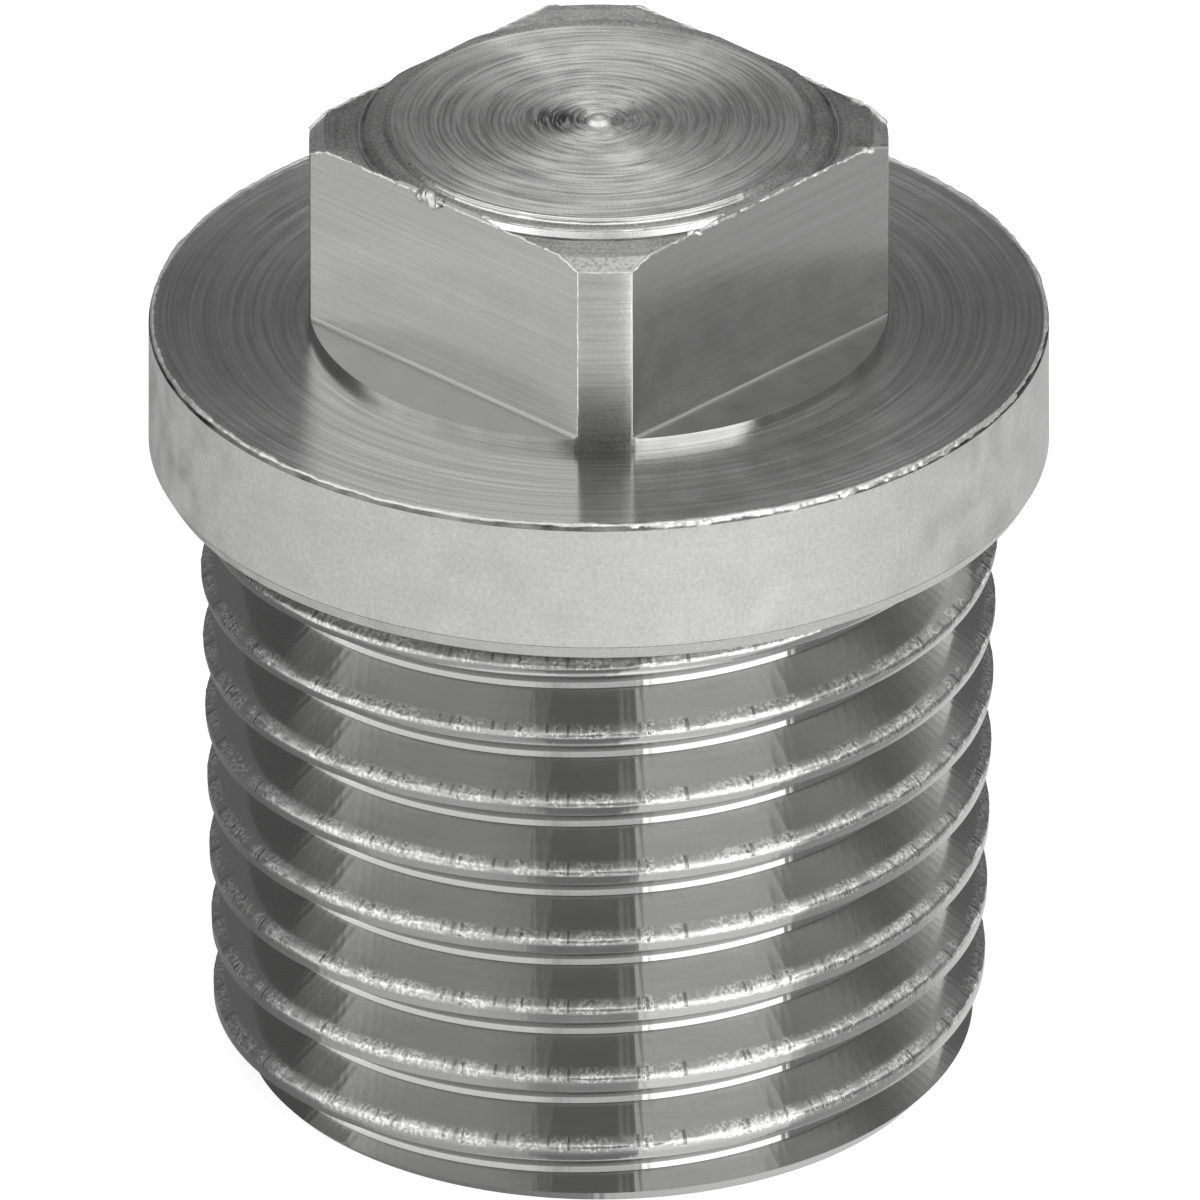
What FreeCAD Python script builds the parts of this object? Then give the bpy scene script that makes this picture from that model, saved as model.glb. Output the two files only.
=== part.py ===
# Square head pipe plug with a collar: turned from one bar, square milled on the head,
# taper pipe thread R 1/2 on the shank. It stands on its threaded end, axis along +Z,
# origin at the centre of the small end face. Millimetres.
import FreeCAD, Part
import math
import os

from FreeCAD import Base

# Taper pipe thread R 1/2
threadPitch = 1.8143          # 14 turns in 25.4 mm
flankAngle = 27.5             # half of the 55 degree thread angle
taper = 1.0 / 16.0            # growth of the diameter along the axis
gaugeDiameter = 20.955        # over the crests, at the gauge plane
gaugeLength = 8.2             # gauge plane above the small end
threadDepth = 1.162
crestWidth = 0.33             # flat left on the crests by turning
threadLength = 15.2           # small end to the underside of the collar
threadStartAngle = -9.0       # where the crest starts at the small end, from the X axis
endFaceDiameter = 18.7        # the lead-in chamfer starts here
leadAngle = 45.0              # lead-in chamfer, from the end face

# Collar
collarDiameter = 24.0
collarThickness = 3.5
collarTopChamfer = 0.25       # at 45 degrees
collarUnderWidth = 0.24       # the steeper chamfer on the lower edge
collarUnderHeight = 0.37

# Square head, milled from a round boss
bossDiameter = 15.45
headHeight = 5.1              # top of the collar to the top face
squareAcrossFlats = 11.9
bossStep = 0.27               # round foot left under the square
millCorner = 0.12             # left by the cutter's chamfered corner at the foot of the flats
topFaceDiameter = 13.8
topChamferAngle = 30.0        # from the top face

# What follows from them
collarUnder = threadLength
collarTop = collarUnder + collarThickness
millFloor = collarTop + bossStep
headTop = collarTop + headHeight
radiusGrowth = taper / 2.0
flankTan = math.tan(math.radians(flankAngle))
rootWidth = threadPitch - crestWidth - 2.0 * threadDepth * flankTan
zAxis = Base.Vector(0, 0, 1)


def crestRadius(z):
    return gaugeDiameter / 2.0 + (z - gaugeLength) * radiusGrowth


def turned(profile):
    """Solid turned from (radius, height) corners round the Z axis."""
    corners = [Base.Vector(r, 0, z) for r, z in profile]
    face = Part.Face(Part.makePolygon(corners + corners[:1]))
    return face.revolve(Base.Vector(0, 0, 0), zAxis, 360)


def shankEnvelope():
    """Plain ends and the lead-in chamfer of the shank, with room for the crests."""
    endRadius = endFaceDiameter / 2.0
    outer = crestRadius(collarUnder) + threadDepth
    leadHeight = (outer - endRadius) * math.tan(math.radians(leadAngle))
    return turned([
        (0, 0),
        (endRadius, 0),
        (outer, leadHeight),
        (outer, collarUnder),
        (0, collarUnder),
    ])


def threadedBar():
    """Threaded bar, a turn or more longer than the shank at both ends.

    Conical helices run along the corners of the thread's profile, and ruled faces join
    them. A ramp from the crest to the axis, and a step, close each end.
    """
    turns = math.ceil(threadLength / threadPitch) + 2
    coneAngle = math.degrees(math.atan(radiusGrowth))
    crest = crestRadius(-threadPitch)
    crestHalf = crestWidth / 2.0
    flankRise = threadDepth * flankTan
    corners = [                           # (depth, rise), upwards from the crest's lower edge
        (0, -crestHalf),
        (0, crestHalf),
        (threadDepth / 2.0, crestHalf + flankRise / 2.0),
        (threadDepth, crestHalf + flankRise),
        (threadDepth, crestHalf + flankRise + rootWidth),
        (threadDepth / 2.0, crestHalf + flankRise * 1.5 + rootWidth),
    ]
    rails = []
    for depth, rise in corners:
        radius = crest - depth + rise * radiusGrowth
        helix = Part.makeLongHelix(threadPitch, (turns + 1) * threadPitch, radius, coneAngle)
        helix.translate(Base.Vector(0, 0, rise - threadPitch))
        rails.append(helix.Edges)         # an edge for each turn
    faces = []
    for turn in range(turns):
        edges = [rail[turn] for rail in rails] + [rails[0][turn + 1]]
        faces += [Part.makeRuledSurface(low, high) for low, high in zip(edges, edges[1:])]
    for turn in (0, turns):
        ramp = rails[0][turn]
        step = [rail[turn].firstVertex().Point for rail in rails] + [ramp.lastVertex().Point]
        foot = Base.Vector(0, 0, step[0].z)
        top = Base.Vector(0, 0, step[-1].z)
        faces.append(Part.makeRuledSurface(ramp, Part.makeLine(foot, top)))
        faces.append(Part.Face(Part.makePolygon([foot] + step + [top, foot])))
    shell = Part.makeShell(faces)
    shell.sewShape()
    bar = Part.makeSolid(shell)
    if bar.Volume < 0:
        bar.reverse()
    bar.rotate(Base.Vector(0, 0, 0), zAxis, threadStartAngle)
    return bar


def collar():
    radius = collarDiameter / 2.0
    return turned([
        (0, collarUnder),
        (radius - collarUnderWidth, collarUnder),
        (radius, collarUnder + collarUnderHeight),
        (radius, collarTop - collarTopChamfer),
        (radius - collarTopChamfer, collarTop),
        (0, collarTop),
    ])


def squareHead():
    """Round boss with its chamfered top, milled to a square down to the mill floor."""
    bossRadius = bossDiameter / 2.0
    topRadius = topFaceDiameter / 2.0
    drop = (bossRadius - topRadius) * math.tan(math.radians(topChamferAngle))
    boss = turned([
        (0, collarTop),
        (bossRadius, collarTop),
        (bossRadius, headTop - drop),
        (topRadius, headTop),
        (0, headTop),
    ])
    side = squareAcrossFlats
    height = headHeight
    square = Part.makeBox(side, side, height, Base.Vector(-side / 2.0, -side / 2.0, millFloor))
    waste = Part.makeCylinder(bossDiameter, height, Base.Vector(0, 0, millFloor)).cut(square)
    foot = [e for e in waste.Edges if onFoot(e)]
    return boss.cut(waste.makeChamfer(millCorner, foot))


def onFoot(edge):
    box = edge.BoundBox
    straight = abs(edge.Length - squareAcrossFlats) < 1e-6
    return straight and abs(box.ZMin - millFloor) < 1e-6 and abs(box.ZMax - millFloor) < 1e-6


def plug():
    shank = threadedBar().common(shankEnvelope())
    body = shank.fuse([collar(), squareHead()]).removeSplitter()
    return body.Solids[0] if len(body.Solids) == 1 else body


os.makedirs("parts", exist_ok=True)
shape = plug()
print("plug", shape.ShapeType, "solids", len(shape.Solids), "faces", len(shape.Faces))
print("valid", shape.isValid(), "volume", round(shape.Volume, 3))
print("box", shape.optimalBoundingBox())
shape.exportStep("parts/plug.step")
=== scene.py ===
import bpy, bmesh, math, random
from mathutils import Matrix, Vector


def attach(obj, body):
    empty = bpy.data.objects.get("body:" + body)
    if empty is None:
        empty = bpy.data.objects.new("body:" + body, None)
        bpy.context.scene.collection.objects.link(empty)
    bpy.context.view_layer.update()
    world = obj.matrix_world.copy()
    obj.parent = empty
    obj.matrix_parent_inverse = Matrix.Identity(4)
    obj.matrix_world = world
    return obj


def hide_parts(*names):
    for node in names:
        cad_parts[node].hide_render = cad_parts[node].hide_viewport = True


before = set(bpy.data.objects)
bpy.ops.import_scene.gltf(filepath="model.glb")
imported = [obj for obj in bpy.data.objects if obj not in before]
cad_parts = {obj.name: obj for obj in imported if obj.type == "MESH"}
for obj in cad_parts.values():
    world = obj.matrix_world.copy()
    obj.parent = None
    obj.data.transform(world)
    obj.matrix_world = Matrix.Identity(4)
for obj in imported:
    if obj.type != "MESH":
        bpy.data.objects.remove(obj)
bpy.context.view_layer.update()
scene = bpy.context.scene
scene.view_settings.view_transform = "Standard"

# Sizes are in millimetres. The meshes are made in millimetres and brought to metres at the end.
mm = 0.001

thread = {
    "pitch": 1.8143,
    "taper": 1 / 16,
    "gaugeDiameter": 20.955,      # over the crests
    "gaugeLength": 8.2,           # from the small end
    "depth": 1.162,
    "crestWidth": 0.33,           # at the small end
    "crestNarrowing": 0.0085,     # per millimetre of height
    "flankAngle": 27.5,
    "length": 15.2,
    "startAngle": -9.0,           # the crest's azimuth at the small end
    "endDiameter": 18.7,
    "stepsPerTurn": 400,
    "upperSpread": 0.05,          # the crest reaches a little further up
    "upperRounding": 0.17,        # of the crest's upper edge, the lower edge is crisp
    "lowerRounding": 0.015,
    "rootLowerRounding": 0.03,
    "rootUpperRounding": 0.17,
    "rootTilt": 0.14,             # the root's slope
    "rootPivot": 0.585,           # share of the pitch where the sloping root has its full depth
    "burrHeight": 0.052,          # along the crests' upper edge
    "burrWidth": 0.07,
    "burrSpread": (0.42, 0.72, -0.6),   # noise at the lowest and highest point, lowest height
    "burrRing": 10.0,             # radius of the ring that it follows through the noise
    "burrNoise": {"Scale": 4.2, "Detail": 3.0, "Roughness": 0.75},
    "weld": 0.002,
    "spareTurns": 1,
    # rows of the mesh over one pitch, from crest to crest, closer at the edges
    "rows": [0, 0.032, 0.058, 0.080, 0.100, 0.120, 0.145, 0.180, 0.395, 0.420, 0.440,
             0.510, 0.545, 0.575, 0.610, 0.893, 0.908, 0.922, 1],
}

collar = {
    "diameter": 24.0,
    "thickness": 3.5,
    "topChamfer": 0.11,
    "underWidth": 0.24,
    "underHeight": 0.37,
    "edgeRadius": 0.03,
    "segments": 360,
}

head = {
    "bossDiameter": 15.45,
    "height": 5.1,
    "acrossFlats": 11.9,
    "bossStep": 0.27,
    "millRadius": 0.12,
    "discDiameter": 11.1,         # the faced disc on top
    "discStep": 0.25,             # its height over the shoulder
    "shoulderDiameter": 14.65,
    "topAngle": 30.0,
    "edgeRadius": 0.035,
    "edgeAngle": 24.0,            # sharper edges than this are rounded
    # lips round the disc: distance outside it, height from the top face
    "lips": [(0.95, -0.22), (0.84, -0.28), (0.72, -0.27), (0.60, -0.14), (0.50, -0.12),
             (0.30, -0.15), (0.20, -0.13), (0.10, 0.0), (0.0, -0.01), (-0.208, 0.0)],
    "lipReach": 42,               # degrees to both sides of the front, where the lips get a painted highlight
    # facing marks: where they start inside the disc's edge, the last one's radius
    "ringStart": 0.338,
    "ringEnd": 0.744,
    "ringSpacing": 0.13,
    "ringSway": 0.3,
    "ringDepth": 0.009,
    # the pip left at the centre, with a ring round it: radius, height from the top face
    "pip": [(0.589, 0.0), (0.4495, -0.05), (0.341, -0.03), (0.248, 0.078), (0.124, 0.1235),
            (0.0, 0.13)],
    "pipRadius": 0.31,
    "seed": 7,
    "segments": 360,
}

collarTop = thread["length"] + collar["thickness"]
headTop = collarTop + head["height"]
shoulderTop = headTop - head["discStep"]
millFloor = collarTop + head["bossStep"]

camera = {
    "azimuth": -46.2,
    "slope": 0.469,               # tangent of the viewing angle above the floor
    "tallness": 1.014,            # upright sizes against sizes across
    "frameWidth": 31.97,
    "lens": 1000.0,
    "sensor": 36.0,
    "aimRight": 0.0314,
    "aimHeight": collarTop - 7.515,
    "clip": (0.01, 20),           # in metres
}


# Small helpers for node trees
def addNode(tree, kind, **settings):
    node = tree.nodes.new(kind)
    for key, value in settings.items():
        setattr(node, key, value)
    return node


def feed(tree, socket, value):
    if isinstance(value, bpy.types.NodeSocket):
        tree.links.new(value, socket)
    elif value is not None:
        socket.default_value = value


def calc(tree, operation, *values, clamp=False):
    node = addNode(tree, "ShaderNodeMath", operation=operation, use_clamp=clamp)
    for socket, value in zip(node.inputs, values):
        feed(tree, socket, value)
    return node.outputs[0]


def xyz(tree, x=0.0, y=0.0, z=0.0):
    node = addNode(tree, "ShaderNodeCombineXYZ")
    for socket, value in zip(node.inputs, (x, y, z)):
        feed(tree, socket, value)
    return node.outputs[0]


def parts(tree, vector):
    node = addNode(tree, "ShaderNodeSeparateXYZ")
    feed(tree, node.inputs[0], vector)
    return node.outputs[0], node.outputs[1], node.outputs[2]


def spread(tree, value, low, high, newLow=0.0, newHigh=1.0, style="SMOOTHSTEP"):
    node = addNode(tree, "ShaderNodeMapRange", interpolation_type=style, clamp=True)
    for socket, entry in zip(node.inputs, (value, low, high, newLow, newHigh)):
        feed(tree, socket, entry)
    return node.outputs[0]


def total(tree, *values):
    result = values[0]
    for value in values[1:]:
        result = calc(tree, "ADD", result, value)
    return result


def product(tree, *values):
    result = values[0]
    for value in values[1:]:
        result = calc(tree, "MULTIPLY", result, value)
    return result


def minus(tree, value, less):
    return calc(tree, "SUBTRACT", value, less)


def ratio(tree, value, by):
    return calc(tree, "DIVIDE", value, by)


def mixed(tree, share, low, high):
    # low where share is 0, high where it is 1
    return total(tree, low, product(tree, share, minus(tree, high, low)))


def newTree(name, kind, inputs, outputs):
    tree = bpy.data.node_groups.new(name, kind)
    for label, socketKind, value in inputs:
        socket = tree.interface.new_socket(label, in_out="INPUT", socket_type=socketKind)
        if value is not None:
            socket.default_value = value
    for label, socketKind in outputs:
        tree.interface.new_socket(label, in_out="OUTPUT", socket_type=socketKind)
    source = tree.nodes.new("NodeGroupInput")
    sink = tree.nodes.new("NodeGroupOutput")
    return tree, source.outputs, sink.inputs


# Small helpers for meshes
def newObject(name, mesh):
    thing = bpy.data.objects.new(name, mesh)
    scene.collection.objects.link(thing)
    return thing


def bakeModifiers(thing):
    graph = bpy.context.evaluated_depsgraph_get()
    mesh = bpy.data.meshes.new_from_object(thing.evaluated_get(graph), depsgraph=graph)
    old = thing.data
    thing.modifiers.clear()
    thing.data = mesh
    bpy.data.meshes.remove(old)


def combine(base, tool, operation):
    joint = base.modifiers.new("combine", "BOOLEAN")
    joint.operation = operation
    joint.solver = "MANIFOLD"
    joint.object = tool
    bakeModifiers(base)
    bpy.data.objects.remove(tool)


def fromBmesh(name, bm):
    mesh = bpy.data.meshes.new(name)
    bmesh.ops.recalc_face_normals(bm, faces=bm.faces)
    bm.to_mesh(mesh)
    bm.free()
    return newObject(name, mesh)


def softened(corners, steps=4):
    # corners are (radius, height) or (radius, height, rounding)
    line = []
    for i, corner in enumerate(corners):
        here = Vector(corner[:2])
        if len(corner) < 3:
            line.append(here)
            continue
        before = Vector(corners[i - 1][:2]) - here
        after = Vector(corners[(i + 1) % len(corners)][:2]) - here
        half = before.angle(after) / 2
        back = corner[2] / math.tan(half)
        start = here + before.normalized() * back
        end = here + after.normalized() * back
        middle = (before.normalized() + after.normalized()).normalized()
        centre = here + middle * corner[2] / math.sin(half)
        for k in range(steps + 1):
            spoke = (start - centre).lerp(end - centre, k / steps)
            line.append(centre + spoke.normalized() * corner[2])
    return line


def lathe(name, corners, segments):
    line = softened(corners)
    bm = bmesh.new()
    rings = []
    for point in line:
        if point.x < 1e-6:
            rings.append([bm.verts.new((0, 0, point.y))] * segments)
            continue
        rings.append([bm.verts.new((point.x * math.cos(2 * math.pi * k / segments),
                                    point.x * math.sin(2 * math.pi * k / segments),
                                    point.y)) for k in range(segments)])
    for low, high in zip(rings, rings[1:]):
        for k in range(segments):
            n = (k + 1) % segments
            corner = [low[k], low[n], high[n], high[k]]
            face = [v for i, v in enumerate(corner) if v not in corner[:i]]
            if len(face) > 2:
                bm.faces.new(face)
    return fromBmesh(name, bm)


def threadTree(inputs):
    tree, given, result = newTree("threadRule", "GeometryNodeTree", inputs, [
        ("Geometry", "NodeSocketGeometry")])
    rows = thread["rows"]
    columns = total(tree, product(tree, given["Turns"], given["Steps per Turn"]), 1.0)
    grid = addNode(tree, "GeometryNodeMeshGrid")
    for label, value in (("Size X", 1.0), ("Size Y", 1.0), ("Vertices X", columns),
                         ("Vertices Y", len(rows))):
        feed(tree, grid.inputs[label], value)
    gridX, gridY, _ = parts(tree, addNode(tree, "GeometryNodeInputPosition").outputs[0])
    along = product(tree, total(tree, gridX, 0.5), given["Turns"])
    along = minus(tree, along, given["Spare Turns"])
    across = addNode(tree, "ShaderNodeFloatCurve")
    feed(tree, across.inputs["Value"], total(tree, gridY, 0.5))
    curve = across.mapping.curves[0]
    for i, share in enumerate(rows[1:-1], 1):
        curve.points.new(i / (len(rows) - 1), share)
    for point in curve.points:
        point.handle_type = "VECTOR"
    across.mapping.update()
    rise = product(tree, across.outputs[0], given["Pitch"])
    height = total(tree, product(tree, along, given["Pitch"]), rise)
    # depth under the crest, from the distance to the nearest crest's middle
    toCrest = calc(tree, "MINIMUM", rise, minus(tree, given["Pitch"], rise))
    nextCrest = calc(tree, "GREATER_THAN", rise, product(tree, given["Pitch"], 0.5))
    narrowing = product(tree, height, given["Crest Narrowing"])
    crestHalf = product(tree, minus(tree, given["Crest Width"], narrowing), 0.5)
    thisCrest = minus(tree, 1.0, nextCrest)
    crestHalf = total(tree, crestHalf, product(tree, given["Upper Spread"], thisCrest))
    rounding = mixed(tree, nextCrest, given["Upper Rounding"], given["Lower Rounding"])
    down = ratio(tree, minus(tree, toCrest, crestHalf), given["Flank Slope"])
    down = calc(tree, "SMOOTH_MAX", down, 0.0, rounding)
    # the root keeps its width where the crest narrows, so it lies deeper there
    deeper = ratio(tree, product(tree, narrowing, 0.5), given["Flank Slope"])
    fromPivot = minus(tree, product(tree, given["Pitch"], thread["rootPivot"]), rise)
    root = minus(tree, total(tree, given["Depth"], deeper),
                product(tree, given["Root Tilt"], fromPivot))
    rounding = mixed(tree, nextCrest, given["Root Lower Rounding"], given["Root Upper Rounding"])
    down = calc(tree, "SMOOTH_MIN", down, root, rounding)
    aboveGauge = minus(tree, height, given["Gauge Length"])
    crest = total(tree, product(tree, given["Gauge Diameter"], 0.5),
                  product(tree, aboveGauge, product(tree, given["Taper"], 0.5)))
    angle = total(tree, product(tree, along, 2 * math.pi), given["Start Angle"])
    cosine, sine = calc(tree, "COSINE", angle), calc(tree, "SINE", angle)
    # a torn burr on the upper edge of the crest
    noise = addNode(tree, "ShaderNodeTexNoise", noise_dimensions="4D")
    radius = thread["burrRing"]
    feed(tree, noise.inputs["Vector"], xyz(tree, product(tree, cosine, radius),
                                           product(tree, sine, radius), height))
    feed(tree, noise.inputs["W"], given["Seed"])
    for label, value in thread["burrNoise"].items():
        feed(tree, noise.inputs[label], value)
    fromEdge = calc(tree, "ABSOLUTE", minus(tree, rise, crestHalf))
    atEdge = calc(tree, "SUBTRACT", 1.0, ratio(tree, fromEdge, thread["burrWidth"]),
                  clamp=True)
    low, high, dip = thread["burrSpread"]
    lump = product(tree, spread(tree, noise.outputs[0], low, high, dip, 1.0, "LINEAR"),
                   given["Burr Height"])
    surface = total(tree, minus(tree, crest, down), product(tree, lump, atEdge))
    place = addNode(tree, "GeometryNodeSetPosition")
    feed(tree, place.inputs["Geometry"], grid.outputs["Mesh"])
    feed(tree, place.inputs["Position"], xyz(tree, product(tree, surface, cosine),
                                             product(tree, surface, sine), height))
    merge = addNode(tree, "GeometryNodeMergeByDistance")
    feed(tree, merge.inputs["Geometry"], place.outputs[0])
    feed(tree, merge.inputs["Distance"], thread["weld"])
    finishTree(tree, merge.outputs[0], given["Material"], result[0])
    return tree


def finishTree(tree, geometry, material, result):
    realize = addNode(tree, "GeometryNodeRealizeInstances")
    feed(tree, realize.inputs[0], geometry)
    dress = addNode(tree, "GeometryNodeSetMaterial")
    feed(tree, dress.inputs["Geometry"], realize.outputs[0])
    feed(tree, dress.inputs["Material"], material)
    feed(tree, result, dress.outputs[0])


def label(key):
    # crestWidth becomes Crest Width
    words = "".join(" " + letter if letter.isupper() else letter for letter in key)
    return words[0].upper() + words[1:]


def setInputs(modifier, values):
    for item in modifier.node_group.interface.items_tree:
        isInput = item.item_type == "SOCKET" and item.in_out == "INPUT"
        if isInput and values.get(item.name) is not None:
            modifier[item.identifier] = values[item.name]


def closeEnds(mesh):
    # a cap to a point on the axis, below and above, outside what is kept
    bm = bmesh.new()
    bm.from_mesh(mesh)
    loose = {e for e in bm.edges if len(e.link_faces) == 1}
    while loose:
        loop = [loose.pop()]
        queue = list(loop)
        while queue:
            edge = queue.pop()
            for vert in edge.verts:
                for other in vert.link_edges:
                    if other in loose:
                        loose.discard(other)
                        loop.append(other)
                        queue.append(other)
        heights = [v.co.z for e in loop for v in e.verts]
        tip = bm.verts.new((0, 0, sum(heights) / len(heights)))
        for edge in loop:
            bm.faces.new((edge.verts[0], edge.verts[1], tip))
    bmesh.ops.recalc_face_normals(bm, faces=bm.faces)
    bm.to_mesh(mesh)
    bm.free()


def makeShank(steel):
    bar = newObject("shank", bpy.data.meshes.new("shank"))
    rule = bar.modifiers.new("threadRule", "NODES")
    number, count = "NodeSocketFloat", "NodeSocketInt"
    turns = math.ceil(thread["length"] / thread["pitch"]) + 2 * thread["spareTurns"]
    inputs = [
        ("Geometry", "NodeSocketGeometry", None),
        ("Flank Slope", number, math.tan(math.radians(thread["flankAngle"]))),
        ("Start Angle", number, math.radians(thread["startAngle"])),
        ("Turns", count, turns), ("Steps per Turn", count, thread["stepsPerTurn"]),
        ("Spare Turns", number, float(thread["spareTurns"])), ("Seed", number, 3.0),
        ("Material", "NodeSocketMaterial", steel),
    ]
    inputs += [(label(key), number, thread[key]) for key in (
        "pitch", "taper", "gaugeDiameter", "gaugeLength", "depth", "crestWidth",
        "crestNarrowing", "upperSpread", "upperRounding", "lowerRounding",
        "rootLowerRounding", "rootUpperRounding", "rootTilt", "burrHeight")]
    rule.node_group = threadTree(inputs)
    setInputs(rule, {name: value for name, _, value in inputs})
    bakeModifiers(bar)
    closeEnds(bar.data)
    # cut to length, a little way into the collar, with the lead-in chamfer and a broken edge
    end, room, broken = thread["endDiameter"] / 2, 2.5, 0.02
    top = thread["length"] + 0.3
    combine(bar, lathe("envelope", [
        (0, 0), (end - broken, 0), (end, broken), (end + room, room), (end + room, top), (0, top),
    ], collar["segments"]), "INTERSECT")
    return bar


def makeCollar():
    radius, under = collar["diameter"] / 2, thread["length"]
    soft = collar["edgeRadius"]
    return lathe("collar", [
        (0, under),
        (radius - collar["underWidth"], under, soft),
        (radius, under + collar["underHeight"], soft),
        (radius, collarTop - collar["topChamfer"], soft),
        (radius - collar["topChamfer"], collarTop, soft),
        (0, collarTop),
    ], collar["segments"])


def makeHead():
    radius, disc = head["bossDiameter"] / 2, head["discDiameter"] / 2
    foot = collarTop - 0.6        # inside the collar
    profile = [(0, foot), (radius, foot), (radius, coneHeight(radius)),
               (head["shoulderDiameter"] / 2, shoulderTop)]
    profile += [(disc + out, headTop + up) for out, up in head["lips"]]
    # facing marks: uneven rings down to the pip
    pick = random.Random(head["seed"])
    ring, sway = disc - head["ringStart"], head["ringSway"]
    while ring > head["ringEnd"]:
        profile.append((ring, headTop - head["ringDepth"] * pick.random()))
        ring -= head["ringSpacing"] * pick.uniform(1 - sway, 1 + sway)
    profile += [(out, headTop + up) for out, up in head["pip"]]
    boss = lathe("head", profile, head["segments"])
    inner, soft = head["acrossFlats"] / 2, head["millRadius"]
    past, over, ends, arcSteps = inner + 3, headTop + 1, (-10, 10), 4
    for quarter in range(4):
        # the milling cutter's path past one side, with its corner radius
        corner = [(past, millFloor), (inner + soft, millFloor)]
        for k in range(1, arcSteps + 1):
            turn = math.pi / 2 * k / arcSteps
            corner.append((inner + soft * (1 - math.sin(turn)),
                           millFloor + soft * (1 - math.cos(turn))))
        corner += [(inner, over), (past, over)]
        bm = bmesh.new()
        loops = [[bm.verts.new((x, y, z)) for x, z in corner] for y in ends]
        bm.faces.new(loops[0])
        bm.faces.new(loops[1])
        for k in range(len(corner)):
            n = (k + 1) % len(corner)
            bm.faces.new((loops[0][k], loops[0][n], loops[1][n], loops[1][k]))
        bmesh.ops.rotate(bm, verts=bm.verts, cent=(0, 0, 0),
                         matrix=Matrix.Rotation(math.pi / 2 * quarter, 3, "Z"))
        combine(boss, fromBmesh("cutterPath", bm), "DIFFERENCE")
    edge = boss.modifiers.new("edges", "BEVEL")
    edge.width = head["edgeRadius"]
    edge.segments = 3
    edge.limit_method = "ANGLE"
    edge.angle_limit = math.radians(head["edgeAngle"])
    bakeModifiers(boss)
    return boss


def coneHeight(radius):
    # the shoulder and its chamfer
    over = max(radius - head["shoulderDiameter"] / 2, 0)
    return shoulderTop - over * math.tan(math.radians(head["topAngle"]))


burrs = {
    "front": camera["azimuth"],   # the corner with the heaviest burrs
    "spacing": 0.05,
    "sides": 6,
    "seed": 11.0,
    # thickness, how far the edge wanders, length of a lump, share of the edge that is torn
    "collar": (0.078, 0.024, 0.70, 1.4),
    "heavy": (0.105, 0.040, 0.45, 1.3),
    "disc": (0.046, 0.012, 1.2, 1.0),
    "foot": (0.060, 0.016, 0.9, 1.0),
    "flat": (0.050, 0.035, 0.35, 0.9),
    "corner": (0.030, 0.012, 0.30, 0.9),
    "post": (0.026, 0.004, 2.0, 1.5),
    "flap": (0.17, 0.12, 0.30, 1.2),
    # arcs to both sides of the front, in radians
    "discArc": (-0.85, 0.70),
    "heavyArc": (0.07, 1.2),
    # loose flaps across the top edges of the flats: both ends, thickness
    "flaps": [((-0.9, -5.98), (-0.15, -6.02), 0.17), ((-0.5, -5.9), (-0.35, -6.1), 0.12),
              ((5.98, -2.75), (6.05, -2.35), 0.10), ((6.0, -1.95), (6.04, -1.8), 0.07),
              ((5.97, 3.9), (6.0, 4.3), 0.08)],
}


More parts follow.
